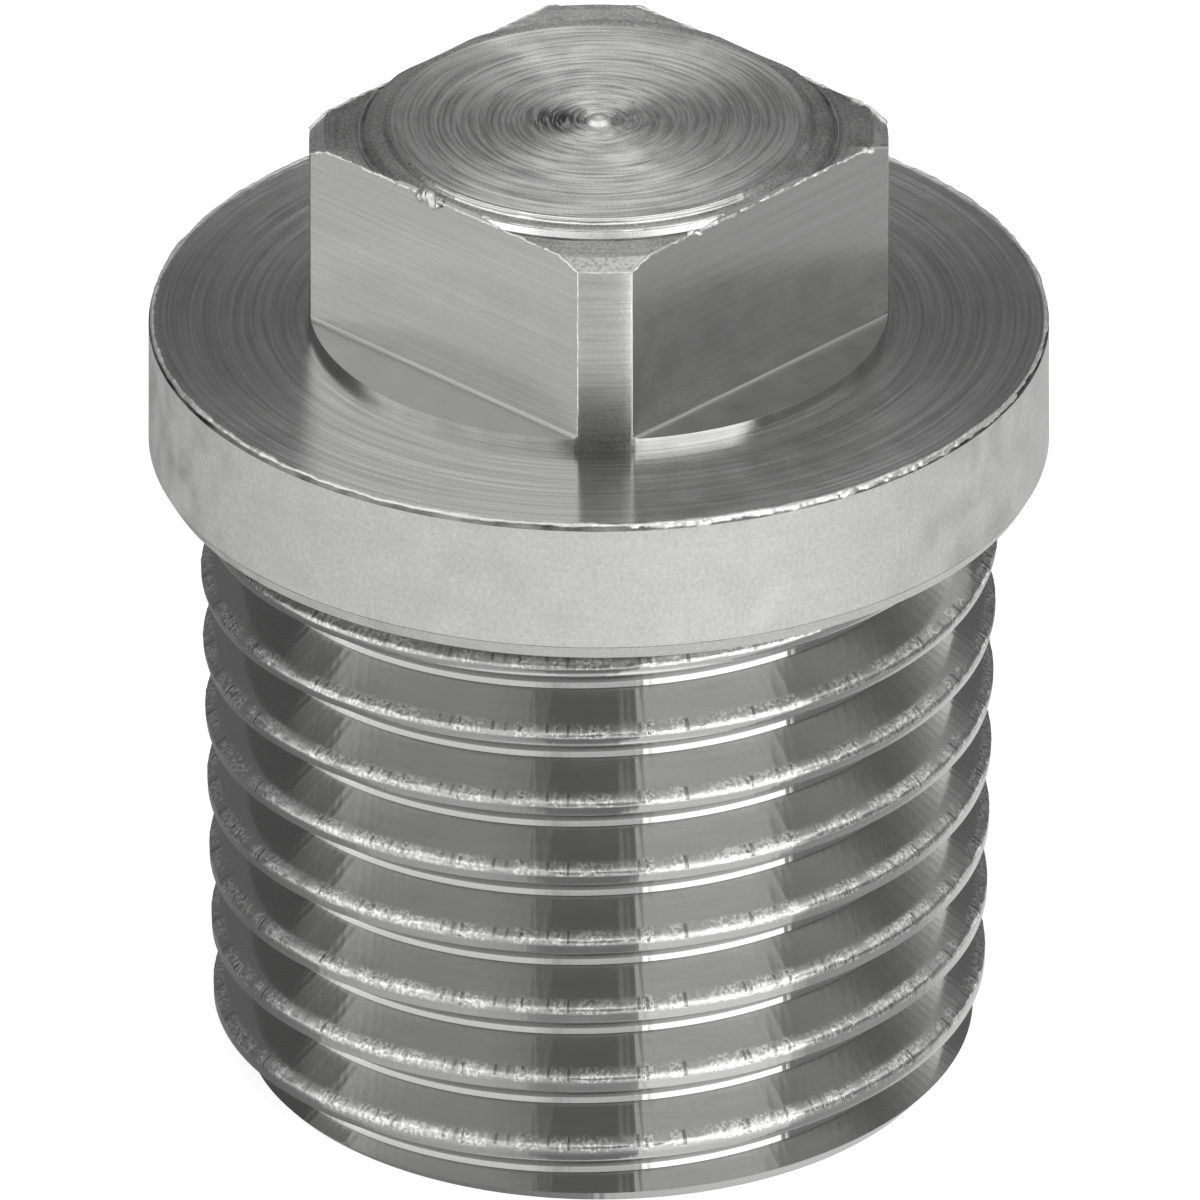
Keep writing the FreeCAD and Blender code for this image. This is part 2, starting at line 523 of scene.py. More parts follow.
def burrTree():
    number = "NodeSocketFloat"
    tree, given, result = newTree("tornEdge", "GeometryNodeTree", [
        ("Geometry", "NodeSocketGeometry", None), ("Spacing", number, 0.05),
        ("Thickness", number, 0.03), ("Wander", number, 0.02), ("Lump Length", number, 0.3),
        ("Torn Share", number, 0.8), ("Sides", "NodeSocketInt", 6), ("Seed", number, 0.0),
        ("Material", "NodeSocketMaterial", None),
    ], [("Geometry", "NodeSocketGeometry")])
    edge = addNode(tree, "GeometryNodeMeshToCurve")
    feed(tree, edge.inputs["Mesh"], given["Geometry"])
    even = addNode(tree, "GeometryNodeResampleCurve", mode="LENGTH")
    feed(tree, even.inputs["Curve"], edge.outputs[0])
    feed(tree, even.inputs["Length"], given["Spacing"])
    position = addNode(tree, "GeometryNodeInputPosition").outputs[0]
    noises = []
    for detail, stretch in ((2.0, 1.0), (3.0, 0.5)):
        noise = addNode(tree, "ShaderNodeTexNoise", noise_dimensions="4D")
        feed(tree, noise.inputs["Vector"], position)
        feed(tree, noise.inputs["W"], given["Seed"])
        feed(tree, noise.inputs["Scale"], ratio(tree, stretch, given["Lump Length"]))
        feed(tree, noise.inputs["Detail"], detail)
        feed(tree, noise.inputs["Roughness"], 0.7)
        noises.append(noise)
    centred = addNode(tree, "ShaderNodeVectorMath", operation="SUBTRACT")
    feed(tree, centred.inputs[0], noises[0].outputs["Color"])
    feed(tree, centred.inputs[1], (0.5, 0.5, 0.5))
    drift = addNode(tree, "ShaderNodeVectorMath", operation="SCALE")
    feed(tree, drift.inputs[0], centred.outputs[0])
    feed(tree, drift.inputs["Scale"], product(tree, given["Wander"], 4.0))
    place = addNode(tree, "GeometryNodeSetPosition")
    feed(tree, place.inputs["Geometry"], even.outputs[0])
    feed(tree, place.inputs["Offset"], drift.outputs[0])
    lumps = spread(tree, noises[1].outputs[0], 0.36, 0.64, 0.45, 1.15, "LINEAR")
    # thin where the edge isn't torn
    halfShare = product(tree, given["Torn Share"], 0.5)
    torn = spread(tree, noises[0].outputs[0], minus(tree, 0.75, halfShare),
                  minus(tree, 0.85, halfShare), 0.2, 1.0)
    section = addNode(tree, "GeometryNodeCurvePrimitiveCircle", mode="RADIUS")
    feed(tree, section.inputs["Resolution"], given["Sides"])
    feed(tree, section.inputs["Radius"], 1.0)
    skin = addNode(tree, "GeometryNodeCurveToMesh")
    feed(tree, skin.inputs["Curve"], place.outputs[0])
    feed(tree, skin.inputs["Profile Curve"], section.outputs[0])
    feed(tree, skin.inputs["Scale"], product(tree, given["Thickness"], product(tree, lumps, torn)))
    feed(tree, skin.inputs["Fill Caps"], True)
    finishTree(tree, skin.outputs[0], given["Material"], result[0])
    return tree


def burrPaths():
    # each entry: the burr's kind, its thickness and a list of paths, as points round the plug
    inner, boss = head["acrossFlats"] / 2, head["bossDiameter"] / 2
    rim, disc = collar["diameter"] / 2, head["discDiameter"] / 2
    half = math.sqrt(boss ** 2 - inner ** 2)
    foot = disc + 0.54            # the outer lip
    gap = math.acos(min(inner / foot, 1)) + 0.02
    front, lowTop = math.radians(burrs["front"]), coneHeight(boss)

    def around(radius, height, start=0.0, end=2 * math.pi):
        count = max(int(radius * (end - start) / 0.2), 8)
        angles = [start + (end - start) * k / count for k in range(count + 1)]
        return [(radius * math.cos(a), radius * math.sin(a), height) for a in angles]

    def turned(points, quarter):
        spin = Matrix.Rotation(math.pi / 2 * quarter, 3, "Z")
        return [spin @ Vector(point) for point in points]

    side = [(inner, -half + 2 * half * k / 60) for k in range(61)]
    flatEdge = [(x, y, coneHeight(math.hypot(x, y))) for x, y in side]
    posts = [[(x, y, lowTop), (x, y, millFloor + 0.1)] for x, y in ((half, -inner), (inner, -half))]
    cap = around(boss, lowTop, math.acos(inner / boss), math.asin(inner / boss))
    low, high = shoulderTop - 0.02, shoulderTop + 0.06
    paths = [
        ("collar", [around(rim - collar["topChamfer"] + 0.02, collarTop - 0.005)]),
        ("disc", [around(disc + 0.18, headTop - 0.03, *[front + a for a in burrs["discArc"]])]),
        ("foot", [around(foot, headTop - 0.15, gap - math.pi / 2, -gap)]),
        ("flat", [turned(flatEdge, q) for q in range(4)]),
        ("corner", [posts[0], turned(cap, 3)]),
        ("post", [posts[1]]),
    ]
    paths = [(kind, burrs[kind][0], lines) for kind, lines in paths]
    for (x0, y0), (x1, y1), thickness in burrs["flaps"]:
        paths.append(("flap", thickness, [[(x0, y0, low), ((x0 + x1) / 2, (y0 + y1) / 2, high),
                                           (x1, y1, low)]]))
    heavy = around(rim - 0.09, collarTop - 0.05, *[front + a for a in burrs["heavyArc"]])
    paths.append(("heavy", burrs["heavy"][0], [heavy]))
    return paths


def makeBurrs(steel):
    tree = burrTree()
    pieces = []
    for index, (kind, thickness, paths) in enumerate(burrPaths()):
        bm = bmesh.new()
        for path in paths:
            closed = (Vector(path[0]) - Vector(path[-1])).length < 1e-4
            verts = [bm.verts.new(point) for point in (path[:-1] if closed else path)]
            for k in range(len(verts) - (0 if closed else 1)):
                bm.edges.new((verts[k], verts[(k + 1) % len(verts)]))
        burr = fromBmesh("burr", bm)
        rule = burr.modifiers.new("tornEdge", "NODES")
        rule.node_group = tree
        _, wander, lumpLength, share = burrs[kind]
        setInputs(rule, {"Spacing": burrs["spacing"], "Thickness": thickness, "Wander": wander,
                         "Lump Length": lumpLength, "Torn Share": share, "Sides": burrs["sides"],
                         "Seed": burrs["seed"] + index, "Material": steel})
        bakeModifiers(burr)
        pieces.append(burr)
    bm = bmesh.new()
    for piece in pieces:
        bm.from_mesh(piece.data)
        bpy.data.objects.remove(piece)
    whole = fromBmesh("edgeBurrs", bm)
    whole.data.materials.append(steel)
    for face in whole.data.polygons:
        face.use_smooth = True
    whole.data.transform(Matrix.Scale(mm, 4))
    return whole


# Materials: all regions are the same bare steel, with the marks of their own tool; their shades are
# set lighter or darker to match how the light falls on each, as painted light and shade. Sizes and
# depths are in millimetres, grain, streak, cloud, speck and the amounts are shares of the tone.
columns = ("across", "shade", "roughness", "anisotropy", "grain", "grainSize", "line",
           "lineDepth", "streak", "cloud", "speck")
finishes = {
    "thread": ("bands", 0.62, 0.11, 0.70, 0.05, 0.10, 0.09, 0.0002, 0.06, 0, 0),
    "rim": ("bands", 0.77, 0.74, 0, 0.13, 0.10, 0.11, 0.0002, 0.03, 0.09, 0),
    "faced": ("rings", 0.61, 0.18, 0.92, 0.10, 0.05, 0.11, 0.0026, 0.44, 0, 0),
    "top": ("rings", 0.80, 0.36, 0.97, 0.34, 0.05, 0.10, 0.0080, 0.85, 0.22, 0.5),
    "milled": ("lines", 0.66, 0.24, 0, 0.07, 0.05, 0.08, 0.0008, 0.14, 0.05, 0.5),
    "millFloor": ("lines", 0.50, 0.34, 0, 0.05, 0.05, 0.10, 0.0002, 0.04, 0, 0),
    "turned": ("bands", 0.62, 0.16, 0.97, 0.08, 0.05, 0.07, 0.0022, 0.18, 0.15, 0),
    "torn": ("rings", 0.54, 0.36, 0.80, 0.60, 0.09, 0.08, 0.0050, 0.30, 0.25, 0.5),
    # edge: painted shade, dark patchy bands along the edges
    "edge": ("bands", 0.22, 0.35, 0, 0.30, 0.05, 0.05, 0.0005, 0.20, 1.5, 0),
    # burr: painted almost white, a painted highlight on the torn metal
    "burr": ("bands", 0.97, 0.42, 0, 0.10, 0.05, 0.05, 0.0, 0.0, 0, 0),
    "strip": ("bands", 0.84, 0.30, 0.95, 0.12, 0.05, 0.08, 0.0022, 0.24, 0.10, 0),
    # chamfer: painted lighter, a painted highlight, with bright grain
    "chamfer": ("rings", 0.95, 0.34, 0, 0.80, 0.10, 0.08, 0.0050, 0.20, 0.30, 0),
    # lip: lighter and smoother, a painted highlight on the lips in front
    "lip": ("rings", 0.95, 0.20, 0, 0.20, 0.05, 0.06, 0.0, 0.10, 0.35, 0),
}
finishes = {name: dict(zip(columns, row)) for name, row in finishes.items()}
finishes["top"]["stain"] = {
    "x": -0.85, "y": -0.80, "size": 1.1, "core": 0.2, "lines": (0.85, 0.35), "amount": 0.75}
# the strip's painted shade, darker towards its foot
finishes["strip"]["dirt"] = {"height": 2.2, "grain": (0.7, 1.2), "amount": 0.62}
names = list(finishes)

# What the regions share
bareSteel = {
    "tint": (1.0, 1.0, 0.992),
    "shineTurn": 0.25,            # a quarter turn, so the highlight lies across the lines
    "cloudSize": 0.9,
    "noiseRange": (0.28, 0.72),   # nearly all of the noise lies in it
    "lineSets": ((1.0, 0.0), (0.27, 17.0)),   # stretch and shift in the noise
    "lineNoise": (2.0, 0.55),     # detail, roughness
    "grainNoise": (2.0, 0.5),
    "cloudNoise": (3.0, 0.5),
    "ringChange": 1.6,            # how fast tool lines change along their way
    "bandChange": 2.5,
    "lineChange": 0.10,
    "streakDepth": 1.5,           # against the lines' depth
    "grainDepth": 0.35,
    "leastRough": 0.8,            # share of the roughness where the clouds are 0
    "cloudRough": 0.4,
    "pitScale": 1.6,              # cells to a millimetre
    "pitChance": (0.90, 0.92),
    "pitSides": (0.11, 0.06),
}

# Marks that only the thread has: heights from the crest's middle, depths below the crest
threadMarks = {
    # cuts across the crest's upper part
    "cutSpacing": 0.36,
    "cutSway": 0.8,
    "cutWidth": 0.075,
    "cutSides": (0.75, 0.45),     # shares of the width where a cut is gone and where it is full
    "cutDepths": (0.30, 0.22),
    "cutFoot": (0.04, 0.18),      # lowest and highest start of a cut
    "cutFade": 0.03,
    "cutChance": (0.25, 0.9),
    "cutDark": 0.5,
    "cutDepth": 0.004,
    # torn metal along the crest's upper edge: rougher, with painted glints in a lighter tone
    "tornHeights": (0.03, 0.09),
    "tornDepths": (0.36, 0.16),
    "tornGrain": (0.35, 0.75),
    "tornChance": (0.1, 0.9),
    "tornLeast": 0.1,
    "tornPaintedGlint": 1.0,
    "tornRough": 0.15,
    # painted shade in the corner between the lower flank and the root
    "cornerFrom": (-0.895, -0.865),
    "cornerTo": (-0.72, -0.78),
    "cornerPaintedShade": 0.50,
    "cornerRough": 0.25,
    # fine waves round the flanks
    "waveWidth": 0.45,
    "waveHeight": 0.0016,
}


def hypotenuse(tree, x, y):
    return calc(tree, "SQRT", total(tree, product(tree, x, x), product(tree, y, y)))


def varied(tree, tone, value, amount):
    # a value of 0.5 changes nothing
    return total(tree, tone, product(tree, minus(tree, value, 0.5), amount))


def darker(tree, tone, mask, amount):
    return product(tree, tone, minus(tree, 1.0, product(tree, mask, amount)))


def evenNoise(tree, place, detail, roughness):
    noise = addNode(tree, "ShaderNodeTexNoise", noise_dimensions="3D")
    feed(tree, noise.inputs["Vector"], place)
    feed(tree, noise.inputs["Scale"], 1.0)
    feed(tree, noise.inputs["Detail"], detail)
    feed(tree, noise.inputs["Roughness"], roughness)
    return spread(tree, noise.outputs[0], *bareSteel["noiseRange"], style="LINEAR")


def placeGroup():
    # where a point lies, in millimetres: from the axis, above the end, round it, on the thread
    number = "NodeSocketFloat"
    tree, given, result = newTree("placeOnPlug", "ShaderNodeTree", [
        ("Pitch", number, 1.8), ("Start Angle", number, 0.0), ("Gauge Radius", number, 10.0),
        ("Gauge Length", number, 8.0), ("Half Taper", number, 0.03),
    ], [
        ("Radius", number), ("Height", number), ("Turn", number), ("From Crest", number),
        ("Depth", number), ("Cosine", number), ("Sine", number),
    ])
    scale = addNode(tree, "ShaderNodeVectorMath", operation="SCALE")
    feed(tree, scale.inputs[0], addNode(tree, "ShaderNodeTexCoord").outputs["Object"])
    feed(tree, scale.inputs["Scale"], 1 / mm)
    x, y, z = parts(tree, scale.outputs[0])
    radius = hypotenuse(tree, x, y)
    turn = calc(tree, "ARCTAN2", y, x)
    fromStart = minus(tree, turn, given["Start Angle"])
    climb = product(tree, ratio(tree, fromStart, 2 * math.pi), given["Pitch"])
    halfPitch = product(tree, given["Pitch"], 0.5)
    fromCrest = calc(tree, "WRAP", minus(tree, z, climb), halfPitch,
                     product(tree, halfPitch, -1.0))
    aboveGauge = minus(tree, z, given["Gauge Length"])
    crest = total(tree, given["Gauge Radius"], product(tree, aboveGauge, given["Half Taper"]))
    depth = minus(tree, crest, radius)
    safe = calc(tree, "MAXIMUM", radius, 0.001)
    cosine, sine = ratio(tree, x, safe), ratio(tree, y, safe)
    for socket, value in zip(result, (radius, z, turn, fromCrest, depth, cosine, sine)):
        feed(tree, socket, value)
    return tree


def toolLinesGroup():
    # ridges left by a tool: uneven across, long and fading along
    number = "NodeSocketFloat"
    tree, given, result = newTree("toolLines", "ShaderNodeTree", [
        ("Across", number, 0.0), ("Along", number, 0.0), ("Along 2", number, 0.0),
        ("Spacing", number, 0.1), ("Seed", number, 0.0),
    ], [("Height", number), ("Streak", number)])
    for index, (stretch, shift) in enumerate(bareSteel["lineSets"]):
        row = ratio(tree, given["Across"], given["Spacing"])
        row = calc(tree, "MULTIPLY_ADD", row, stretch, shift)
        place = xyz(tree, row, total(tree, given["Along"], given["Seed"]), given["Along 2"])
        feed(tree, result[index], evenNoise(tree, place, *bareSteel["lineNoise"]))
    return tree


def grainGroup():
    number = "NodeSocketFloat"
    tree, given, result = newTree("grain", "ShaderNodeTree", [
        ("Size", number, 0.05), ("Cloud Size", number, 1.0), ("Seed", number, 0.0),
    ], [("Grain", number), ("Cloud", number), ("Speck", number)])
    place = addNode(tree, "ShaderNodeTexCoord").outputs["Object"]
    sets = (given["Size"], bareSteel["grainNoise"]), (given["Cloud Size"], bareSteel["cloudNoise"])
    for index, (size, kind) in enumerate(sets):
        shifted = addNode(tree, "ShaderNodeVectorMath", operation="MULTIPLY_ADD")
        feed(tree, shifted.inputs[0], place)
        feed(tree, shifted.inputs[1], xyz(tree, *[ratio(tree, 1 / mm, size)] * 3))
        feed(tree, shifted.inputs[2], xyz(tree, *[given["Seed"]] * 3))
        feed(tree, result[index], evenNoise(tree, shifted.outputs[0], *kind))
    # rare small pits
    spots = addNode(tree, "ShaderNodeTexVoronoi", voronoi_dimensions="3D", feature="F1")
    feed(tree, spots.inputs["Vector"], place)
    feed(tree, spots.inputs["Scale"], bareSteel["pitScale"] / mm)
    pit = spread(tree, spots.outputs["Distance"], *bareSteel["pitSides"])
    chance = parts(tree, spots.outputs["Color"])[0]
    feed(tree, result[2], product(tree, pit, spread(tree, chance, *bareSteel["pitChance"])))
    return tree


placeTree, linesTree, grainTree = placeGroup(), toolLinesGroup(), grainGroup()


def useGroup(tree, group, **values):
    node = addNode(tree, "ShaderNodeGroup", node_tree=group)
    for key, value in values.items():
        feed(tree, node.inputs[key.replace("_", " ")], value)
    return node.outputs


def addThreadMarks(tree, place, grain, tone, rough, height):
    # cells round the axis, the same on all turns
    marks = threadMarks
    cells = addNode(tree, "ShaderNodeTexVoronoi", voronoi_dimensions="1D", feature="F1")
    perTurn = round(math.pi * thread["gaugeDiameter"] / marks["cutSpacing"])
    feed(tree, cells.inputs["W"], product(tree, place["Turn"], perTurn / (2 * math.pi)))
    feed(tree, cells.inputs["Scale"], 1.0)
    feed(tree, cells.inputs["Randomness"], marks["cutSway"])
    away, chance = cells.outputs["Distance"], parts(tree, cells.outputs["Color"])

    width = marks["cutWidth"] / marks["cutSpacing"]
    across = spread(tree, away, *[width * side for side in marks["cutSides"]])
    foot = spread(tree, chance[0], 0.0, 1.0, *marks["cutFoot"], style="LINEAR")
    above = spread(tree, place["From Crest"], foot, total(tree, foot, marks["cutFade"]))
    onCrest = product(tree, spread(tree, place["Depth"], *marks["cutDepths"]), above)
    cuts = product(tree, across, onCrest, spread(tree, chance[1], *marks["cutChance"]))
    tone = darker(tree, tone, cuts, marks["cutDark"])
    height = minus(tree, height, product(tree, cuts, marks["cutDepth"]))

    # torn metal on the crest's upper edge: rougher, and lighter as painted glints
    upper = product(tree, spread(tree, place["From Crest"], *marks["tornHeights"]),
                    spread(tree, place["Depth"], *marks["tornDepths"]))
    torn = product(tree, spread(tree, grain["Grain"], *marks["tornGrain"]),
                   spread(tree, chance[2], *marks["tornChance"], marks["tornLeast"], 1.0))
    tone = total(tree, tone, product(tree, torn, upper, marks["tornPaintedGlint"]))
    rough = total(tree, rough, product(tree, upper, marks["tornRough"]))

    # painted shade in the corner between the lower flank and the root
    corner = product(tree, spread(tree, place["From Crest"], *marks["cornerFrom"]),
                     spread(tree, place["From Crest"], *marks["cornerTo"]))
    tone = darker(tree, tone, corner, marks["cornerPaintedShade"])
    rough = total(tree, rough, product(tree, corner, marks["cornerRough"]))

    wave = spread(tree, away, marks["waveWidth"], 0.0, style="LINEAR")
    height = total(tree, height, product(tree, wave, marks["waveHeight"]))
    return tone, rough, height


def steelMaterial(name):
    finish = finishes[name]
    across, seed = finish["across"], 10.0 * names.index(name)
    material = bpy.data.materials.new(name + "Steel")
    material.use_nodes = True
    tree = material.node_tree
    shader = tree.nodes["Principled BSDF"]
    shader.inputs["Metallic"].default_value = 1.0
    shader.inputs["Anisotropic"].default_value = float(finish["anisotropy"])
    if finish["anisotropy"]:
        tangent = addNode(tree, "ShaderNodeTangent", direction_type="RADIAL", axis="Z")
        feed(tree, shader.inputs["Tangent"], tangent.outputs[0])
        shader.inputs["Anisotropic Rotation"].default_value = bareSteel["shineTurn"]

    place = useGroup(
        tree, placeTree, Pitch=thread["pitch"], Start_Angle=math.radians(thread["startAngle"]),
        Gauge_Radius=thread["gaugeDiameter"] / 2, Gauge_Length=thread["gaugeLength"],
        Half_Taper=thread["taper"] / 2)
    grain = useGroup(tree, grainTree, Size=finish["grainSize"], Cloud_Size=bareSteel["cloudSize"],
                     Seed=seed)
    change = {
        "rings": (bareSteel["ringChange"],),
        "bands": (bareSteel["bandChange"],),
        "lines": (place["Radius"], bareSteel["lineChange"]),
    }[across]
    lines = useGroup(
        tree, linesTree, Across=place["Radius" if across == "rings" else "Height"],
        Along=product(tree, place["Cosine"], *change),
        Along_2=product(tree, place["Sine"], *change),
        Spacing=finish["line"], Seed=seed)

    depth = finish["lineDepth"]
    height = total(tree, product(tree, lines["Height"], depth),
                   product(tree, lines["Streak"], depth * bareSteel["streakDepth"]),
                   product(tree, grain["Grain"], depth * bareSteel["grainDepth"]))
    tone = varied(tree, 1.0, grain["Grain"], finish["grain"])
    tone = varied(tree, tone, lines["Height"], finish["streak"])
    if finish["cloud"]:
        tone = varied(tree, tone, grain["Cloud"], finish["cloud"])
    if finish["speck"]:
        tone = darker(tree, tone, grain["Speck"], finish["speck"])
    if "dirt" in finish:
        # painted shade at the foot of the square, darker towards the bottom, more in the dark
        # grains
        dirt = finish["dirt"]
        low = spread(tree, place["Height"], millFloor + dirt["height"], millFloor, style="LINEAR")
        patches = spread(tree, grain["Grain"], 0.0, 1.0, *dirt["grain"], style="LINEAR")
        tone = darker(tree, tone, product(tree, low, patches), dirt["amount"])
    if "stain" in finish:
        # a smudge beside the pip, rubbed off the high lines
        stain = finish["stain"]
        x = product(tree, place["Cosine"], place["Radius"])
        y = product(tree, place["Sine"], place["Radius"])
        away = hypotenuse(tree, minus(tree, x, stain["x"]),
                          minus(tree, y, stain["y"]))
        smudge = product(tree, spread(tree, away, stain["size"], stain["size"] * stain["core"]),
                         spread(tree, lines["Height"], *stain["lines"]))
        tone = darker(tree, tone, smudge, stain["amount"])
    clouded = total(tree, bareSteel["leastRough"],
                    product(tree, grain["Cloud"], bareSteel["cloudRough"]))
    rough = product(tree, finish["roughness"], clouded)
    if name == "thread":
        tone, rough, height = addThreadMarks(tree, place, grain, tone, rough, height)

    shade = calc(tree, "MULTIPLY", tone, finish["shade"], clamp=True)
    colour = addNode(tree, "ShaderNodeCombineColor")
    for socket, tint in zip(colour.inputs, bareSteel["tint"]):
        feed(tree, socket, product(tree, shade, tint))
    feed(tree, shader.inputs["Base Color"], colour.outputs[0])
    feed(tree, shader.inputs["Roughness"], calc(tree, "MULTIPLY", rough, 1.0, clamp=True))
    bump = addNode(tree, "ShaderNodeBump")
    bump.inputs["Strength"].default_value = 1.0
    bump.inputs["Distance"].default_value = mm
    feed(tree, bump.inputs["Height"], height)
    feed(tree, shader.inputs["Normal"], bump.outputs[0])
    return material


steels = [steelMaterial(name) for name in names]

# How far a region reaches past the edge it is named for, in millimetres
reach = {
    "hair": 0.001,
    "endFace": 0.01,
    "underChamfer": 0.05,
    "topChamfer": 0.02,
    "turned": 0.03,
    "millFloor": 0.13,
    "pip": 0.01,
    "disc": 0.06,
    "discEdge": 0.02,
    "flat": 0.08,
    "bossEdge": 0.03,
    "lips": 0.02,
    "shoulder": 0.02,
    "shoulderEdge": 0.04,
    "shoulderRing": 0.80,
}

# How level a face is, 1 for one that lies flat and 0 for an upright one
levels = {
    "upright": 0.05,
    "millFloor": 0.3,
    "sloping": 0.5,
    "milled": 0.6,
    "lip": 0.88,
    "endFace": 0.9,
    "faced": 0.95,
}

shading = {
    "sharpAngle": 34,
    "normalWeight": 80,
}


def regionOf(face):
    x, y, z = face.center
    radius, level = math.hypot(x, y), abs(face.normal.z)
    discRadius, bossRadius = head["discDiameter"] / 2, head["bossDiameter"] / 2
    if z < thread["length"] - reach["hair"]:
        atEnd = z < reach["endFace"] and level > levels["endFace"]
        return "faced" if atEnd else "thread"
    chamferTop = thread["length"] + collar["underHeight"] + reach["underChamfer"]
    # the under chamfer gets the edge finish: painted shade
    if z < chamferTop and levels["upright"] < level < levels["sloping"]:
        return "edge"
    if z < collarTop - reach["hair"]:
        # the top chamfer gets the edge finish: painted shade
        if z > collarTop - collar["topChamfer"] - reach["topChamfer"]:
            return "edge"
        return "faced" if level > levels["faced"] else "rim"
    if z < collarTop + reach["hair"]:
        return "faced"
    if z < millFloor - reach["turned"]:
        return "turned"
    if z < millFloor + reach["millFloor"] and level > levels["millFloor"]:
        return "millFloor"
    # the pip gets the burr finish, painted almost white as a highlight
    if z > headTop + reach["pip"] and radius < head["pipRadius"]:
        return "burr"
    if z > headTop - reach["disc"] and radius < discRadius - reach["discEdge"]:
        return "top"
    onFlat = max(abs(x), abs(y)) > head["acrossFlats"] / 2 - reach["flat"]
    if onFlat and level < levels["milled"] and radius < bossRadius - reach["bossEdge"]:
        return "milled"
    if z > shoulderTop + reach["lips"]:
        # the lips in front get the lip finish, a painted highlight
        inFront = abs(math.degrees(math.atan2(y, x)) - burrs["front"]) < head["lipReach"]
        return "lip" if inFront and level < levels["lip"] else "torn"
    # a ring round the disc's foot gets the edge finish: painted shade
    if z > shoulderTop - reach["shoulderEdge"] and radius < discRadius + reach["shoulderRing"]:
        return "edge"
    if z > shoulderTop - reach["shoulder"] or level < levels["sloping"]:
        return "torn" if level > levels["sloping"] else "strip"
    # the chamfer finish is painted lighter, a painted highlight
    return "chamfer"


plug = makeShank(steels[0])
print("shank", len(plug.data.polygons))
combine(plug, makeCollar(), "UNION")
combine(plug, makeHead(), "UNION")
print("plug", len(plug.data.polygons))
plug.name = "plugTurned"
plug.data.materials.clear()
for steel in steels:
    plug.data.materials.append(steel)
for face in plug.data.polygons:
    face.material_index = names.index(regionOf(face))
    face.use_smooth = True
plug.data.transform(Matrix.Scale(mm, 4))
plug.data.set_sharp_from_angle(angle=math.radians(shading["sharpAngle"]))
weigh = plug.modifiers.new("weigh", "WEIGHTED_NORMAL")
weigh.keep_sharp = True
weigh.weight = shading["normalWeight"]
bakeModifiers(plug)
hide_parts("plug")
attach(plug, "root")
# the burrs' steel is painted almost white, a painted highlight
edgeBurrs = makeBurrs(steels[names.index("burr")])
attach(edgeBurrs, "root")
print("burrs", len(edgeBurrs.data.polygons))


# Camera: a view camera with its film upright, so the frame shears the picture's height
def makeCamera():
    turn, look = math.radians(camera["azimuth"]), math.atan(camera["slope"])
    front = Vector((math.cos(turn), math.sin(turn), 0))
    right = Vector((-math.sin(turn), math.cos(turn), 0))
    up = Vector((0, 0, 1))
    back = front * math.cos(look) + up * math.sin(look)
    square = up * math.cos(look) - front * math.sin(look)
    lean = math.acos(math.cos(look) / camera["tallness"])
    film = square * math.cos(lean) + back * math.sin(lean)
    distance = camera["frameWidth"] / camera["sensor"] * camera["lens"]
    place = right * camera["aimRight"] + up * camera["aimHeight"] + back * distance
    data = bpy.data.cameras.new("viewCamera")
    data.lens, data.sensor_width = camera["lens"], camera["sensor"]
    data.clip_start, data.clip_end = camera["clip"]
    eye = bpy.data.objects.new("viewCamera", data)
    rig = bpy.data.objects.new("cameraRig", None)
    for thing in (eye, rig):
        scene.collection.objects.link(thing)
    shear = Matrix.Identity(4)
    for i in range(3):
        shear[i] = right[i], film[i], back[i], place[i] * mm
    eye.parent = rig
    eye.matrix_parent_inverse = shear
    scene.camera = eye


makeCamera()
print("camera set")

studio = {
    "floorSize": 3.0,
    "floorSegments": 24,
    "floorColour": 0.8,
    "floorGlow": 0.68,
    "surroundings": 0.15,
    "brightest": 2.0,             # highest strength that a band can have
}

